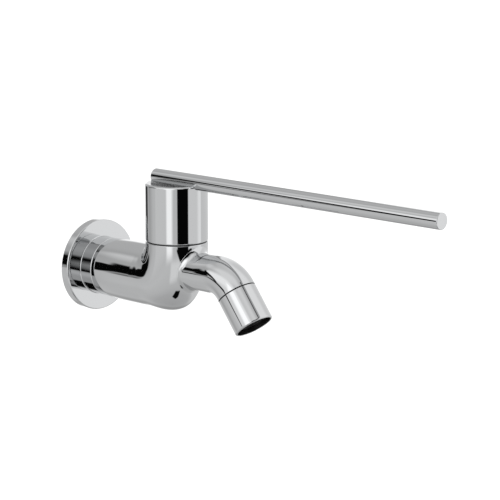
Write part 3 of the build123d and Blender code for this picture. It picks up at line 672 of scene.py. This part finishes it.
hubShell = makePiece("leverHub", buildHub(hub))
cut(hubShell, roundTool("grubBoss", hub["grubBoss"], hub["grubBossFrom"], hub["grubHeight"],
                        hub["grubBossLength"]), "UNION")
cut(hubShell, roundTool("grubDrill", hub["grubHole"], hub["grubHoleFrom"], hub["grubHeight"],
                        hub["grubHoleLength"]))
cut(hubShell, roundTool("barCutter", bar["radius"] + bar["seatGap"], bar["seatFrom"], bar["height"],
                        bar["seatLength"], bar["columns"]))
dress(hubShell, castChrome, "lever", "chrome_cast", "lever_hub")
topZone = (hub["top"] - hub["satinMargin"], hub["top"] + hub["satinMargin"], hub["radius"] - hub["topEdge"])
finishZones(hubShell, satinPlate(), np.array(leverPlace), np.array([0, 0, 1]), topZone)


def buildBar(p):
    # Profile (radius, distance from the end nearest the wall) turned about the bar's axis
    profile = roundedProfile([
        (tipRadius, 0, 0), (p["radius"], 0, p["edge"]), (p["radius"], p["length"], p["edge"]),
        (tipRadius, p["length"], 0)], arcSteps=p["edgeSteps"])
    place = (0, p["behind"] - reach, p["height"])
    return turnedGrid(profile, p["columns"], centre=place, along=(0, -1, 0))


dress(makePiece("leverBar", buildBar(bar)), drawnChrome, "lever", "chrome_turned", "lever_rod")


# Glide ring: its rim is the dark line under the hub
ring = {"bore": 12.1, "radius": 19.2, "bottom": 25.7, "top": 26.2, "lip": (15.7, 16.9), "lipTop": 30.0,
        "smallEdge": 0.05, "rimEdge": 0.1, "lipEdge": 0.2, "edgeSteps": 4, "columns": 192}


def buildRing(p):
    # Profile (radius, height) of a flat ring with a lip that stands up in the hub, turned about its axis
    inner, outer = p["lip"]
    small, rim = p["smallEdge"], p["rimEdge"]
    profile = roundedProfile([
        (p["bore"], p["bottom"], small), (p["radius"], p["bottom"], rim), (p["radius"], p["top"], rim),
        (outer, p["top"], small), (outer, p["lipTop"], p["lipEdge"]), (inner, p["lipTop"], p["lipEdge"]),
        (inner, p["top"], small), (p["bore"], p["top"], small)], closed=True, arcSteps=p["edgeSteps"])
    return turnedGrid(profile, p["columns"], True, leverPlace)


dress(makePiece("glideRing", buildRing(ring)), finishes["acetal_dark"], "tap", "acetal_dark", "glide_ring")


# Stage, in metres: a pale floor, and round it a white tent whose walls and black flags show in the chrome.
# Each card is a patch of the sky with corners (azimuth, elevation) in degrees as the chrome sees it, edges
# that fade over some degrees, and the grey level 0 to 255 that chrome shows there. Later cards lie over
# earlier ones
studio = {"floorHeight": -0.30, "floorSize": 60.0, "floorColours": ("#f4f4f4", "#f2f2f2"), "floorGrain": 40.0,
          "floorRoughness": 0.9, "floorGlow": 0.35, "plainLight": 0.85, "cameraLight": 1.0}
view = {"azimuth": -46.87, "elevation": 11.475, "distance": 1.22883, "target": (0, -0.14066, 0.028404),
        "lens": 144.0, "sensor": 36.0, "clip": (0.01, 200.0)}
tentByElevation = ((-90, 152), (-55, 160), (-42, 172), (-25, 180), (0, 172), (20, 160), (45, 165), (60, 176),
                   (90, 190))
cards = {
    "leftShade": (((-176, -30), (-176, 50), (-150, 50), (-150, -30)), 26, 152),
    "overBar": (((-166, 34), (-160, 50), (-140, 50), (-140, 33)), 12, 190),
    "upperLeft": (((-150, 38), (-120, 66), (-20, 66), (-25, 36), (-90, 26)), 26, 204),
    "rightSeam": (((-6, -16), (-6, 50), (14, 73), (80, 79), (150, 66), (136, 0), (126, -16)),
                  (3, 3, 3, 3, 3, 10, 10), 118),
    "rightWall": (((0, -22), (0, 50), (21, 70), (80, 75), (146, 61), (131, 0), (126, -22)),
                  (3, 4, 4, 4, 4, 10, 10), 214),
    "rightWallFoot": (((-6, -26), (-6, -2), (38, -2), (38, -26)), (8, 10, 14, 8), 192),
    "rightWallFar": (((62, -20), (76, 58), (118, 62), (120, -20)), 24, 193),
    "rightFloor": (((54, -40), (54, -8), (118, -8), (118, -40)), (4, 3, 10, 20), 186),
    "farFloor": (((104, -62), (108, -28), (160, -28), (165, -62)), 18, 136),
    "backdrop": (((118, -24), (118, 14), (150, 14), (150, -24)), 12, 220),
    "leftWall": (((-137, 3), (-138, 34), (-95, 40), (-60, 40), (-46, -2), (-95, 2)),
                 (2, 16, 16, 14, 5, 3), 226),
    "leftWallLow": (((-122, -6), (-120, 9), (-97, 16), (-97, 0)), 9, 206),
    "leftWindow": (((-95, 4), (-92, 29), (-72, 27), (-51, 4), (-55, -8), (-82, -8)),
                   (10, 4, 4, 4, 6, 8), 252),
    "leftLowLight": (((-84, -18), (-84, 0), (-62, 0), (-62, -18)), 12, 236),
    "leftGlow": (((-130, -16), (-130, -6), (-86, -6), (-86, -16)), 8, 186),
    "frontFloorLight": (((-66, -36), (-66, -21), (-34, -21), (-34, -36)), 8, 200),
    "frontFlag": (((-43, -14), (-43.5, 20), (-2.5, 20), (-2.5, -14), (-24, -23), (-33, -22.5)),
                  (3.5, 8, 3, 3, 3, 3), 5),
    "frontFlagSkirt": (((-46, -12.5), (3, -12.5), (3, -14.5), (-24, -23), (-33, -22.5), (-46, -14)), 2, 5),
    "frontFlagHorn": (((-20, 18), (-17, 36), (5, 38), (3, 18)), 4, 5),
    "lowFlag": (((-51, -60.5), (-36, -50), (-14, -50), (-13, -62), (-26, -68)), 2.5, 5),
    "leftFlag": (((-134, 1), (-134, 10), (-137, 15), (-144, 15.5), (-152, 7.5), (-152, -7), (-141, -5.5)),
                 2.5, 4),
    "leftFlagEnd": (((-150, 7), (-150, -7.5), (-157, -9), (-168, -9), (-171, 0), (-164, 5.5)), 2.5, 4),
    "leftEdge": (((162, -16), (162, -5), (-177, -5), (-177, -16)), 3, 40),
    "barFlag": (((-141.5, 23), (-138, 20), (-130.5, 13), (-124.5, 4), (-126.5, -3), (-133, 4), (-139, 11)),
                2.5, 4),
    "floorGap": (((-15, -40.5), (0, -40), (26, -38), (28, -43), (0, -47), (-14, -47)), 2.5, 6),
    "seamKnot": (((-7, 46), (-7, 54), (1, 54), (1, 46)), 1.6, 36),
    "thinGap": (((-137, -6.2), (-136.5, -1.8), (-112, 2.4), (-112, -2.4)), (8, 1.8, 5, 1.8), 8)}


def radiance(level):
    # Light that chrome returns as this grey: linear level over the plate's own reflectance
    return linear("#%02x%02x%02x" % (3 * (round(level),)))[0] / linear(chrome["colour"])[0]


def skyward(azimuth, elevation):
    a, e = radians(azimuth), radians(elevation)
    return Vector((sin(a) * cos(e), -cos(a) * cos(e), sin(e)))


def paintCard(tree, sky, under, corners, soft, level):
    # Inside every edge: the product of smooth steps of sky . edge normal, each as wide as the edge's fade
    rays = [skyward(*corner) for corner in corners]
    middle = sum(rays, Vector())
    softs = soft if isinstance(soft, tuple) else (soft,) * len(rays)
    cover = None
    for ray, after, fade in zip(rays, rays[1:] + rays[:1], softs):
        edge = ray.cross(after).normalized()
        if edge.dot(middle) < 0:
            edge.negate()
        inward = add(tree, "ShaderNodeVectorMath", {"operation": "DOT_PRODUCT"}, n0=sky, n1=edge)
        half = sin(radians(fade)) / 2
        step = add(tree, "ShaderNodeMapRange", {"interpolation_type": "SMOOTHSTEP"},
                   Value=inward.outputs["Value"], From_Min=-half, From_Max=half).outputs["Result"]
        cover = step if cover is None else add(tree, "ShaderNodeMath", {"operation": "MULTIPLY"}, n0=cover,
                                               n1=step).outputs[0]
    painted = add(tree, "ShaderNodeMix", {"data_type": "FLOAT"}, n0=cover, n2=under, n3=radiance(level))
    return painted.outputs[0]


def buildWorld():
    # The camera sees plain white, chrome and glass see the tent, and everything else gets an even soft light
    world = bpy.data.worlds.new("studio")
    world.use_nodes = True
    tree = world.node_tree
    sky = add(tree, "ShaderNodeTexCoord").outputs["Generated"]
    height = add(tree, "ShaderNodeSeparateXYZ", None, Vector=sky).outputs["Z"]
    elevation = add(tree, "ShaderNodeMath", {"operation": "ARCSINE"}, n0=height).outputs[0]
    share = add(tree, "ShaderNodeMapRange", None, Value=elevation, From_Min=-pi / 2, From_Max=pi / 2)
    ramp = add(tree, "ShaderNodeValToRGB", None, Fac=share.outputs["Result"])
    stops = ramp.color_ramp.elements
    stops.remove(stops[1])
    for angle, level in tentByElevation:
        stop = stops.new((angle + 90) / 180) if angle > -90 else stops[0]
        stop.color = (*(radiance(level),) * 3, 1)
    tent = add(tree, "ShaderNodeSeparateColor", None, Color=ramp.outputs["Color"]).outputs[0]
    for corners, soft, level in cards.values():
        tent = paintCard(tree, sky, tent, corners, soft, level)
    path = add(tree, "ShaderNodeLightPath")
    mirrored = add(tree, "ShaderNodeMath", {"operation": "MAXIMUM"}, n0=path.outputs["Is Glossy Ray"],
                   n1=path.outputs["Is Transmission Ray"])
    inside = add(tree, "ShaderNodeMix", {"data_type": "FLOAT"}, n0=mirrored.outputs[0],
                 n2=studio["plainLight"], n3=tent)
    strength = add(tree, "ShaderNodeMix", {"data_type": "FLOAT"}, n0=path.outputs["Is Camera Ray"],
                   n2=inside.outputs[0], n3=studio["cameraLight"])
    background = tree.nodes["Background"]
    background.inputs["Color"].default_value = (1, 1, 1, 1)
    tree.links.new(strength.outputs[0], background.inputs["Strength"])
    bpy.context.scene.world = world


def buildStage():
    # The floor glows a little to the camera, which lifts it to white and leaves the shadow on it. Chrome sees
    # the tent's own floor in the sky below the horizon
    half = studio["floorSize"] / 2
    mesh = bpy.data.meshes.new("floor")
    corners = [(x * half, y * half, studio["floorHeight"]) for x, y in ((-1, -1), (1, -1), (1, 1), (-1, 1))]
    mesh.from_pydata(corners, [], [(0, 1, 2, 3)])
    floor = bpy.data.objects.new("floor", mesh)
    bpy.context.scene.collection.objects.link(floor)
    floor.visible_glossy = False
    material, tree, shader, place = newMaterial("paleFloor")
    grain = add(tree, "ShaderNodeTexNoise", None, Vector=place, Scale=studio["floorGrain"], Detail=2.0)
    first, second = studio["floorColours"]
    tone = add(tree, "ShaderNodeMix", {"data_type": "RGBA"}, Factor=grain.outputs["Fac"],
               n6=linear(first), n7=linear(second))
    tree.links.new(tone.outputs[2], shader.inputs["Base Color"])
    shader.inputs["Roughness"].default_value = studio["floorRoughness"]
    path = add(tree, "ShaderNodeLightPath")
    white = add(tree, "ShaderNodeEmission", None, Strength=studio["floorGlow"])
    both = add(tree, "ShaderNodeAddShader", None, n0=shader.outputs[0], n1=white.outputs[0])
    mixed = add(tree, "ShaderNodeMixShader", None, Fac=path.outputs["Is Camera Ray"], n1=shader.outputs[0],
                n2=both.outputs[0])
    tree.links.new(mixed.outputs[0], tree.nodes["Material Output"].inputs["Surface"])
    mesh.materials.append(material)


def buildCamera():
    away = skyward(view["azimuth"], view["elevation"])
    data = bpy.data.cameras.new("camera")
    data.lens, data.sensor_width = view["lens"], view["sensor"]
    data.clip_start, data.clip_end = view["clip"]
    camera = bpy.data.objects.new("camera", data)
    camera.location = Vector(view["target"]) + away * view["distance"]
    camera.rotation_euler = (-away).to_track_quat("-Z", "Y").to_euler()
    bpy.context.scene.collection.objects.link(camera)
    bpy.context.scene.camera = camera


print("stage")
buildCamera()
buildStage()
buildWorld()
bpy.context.scene.view_settings.view_transform = "Standard"
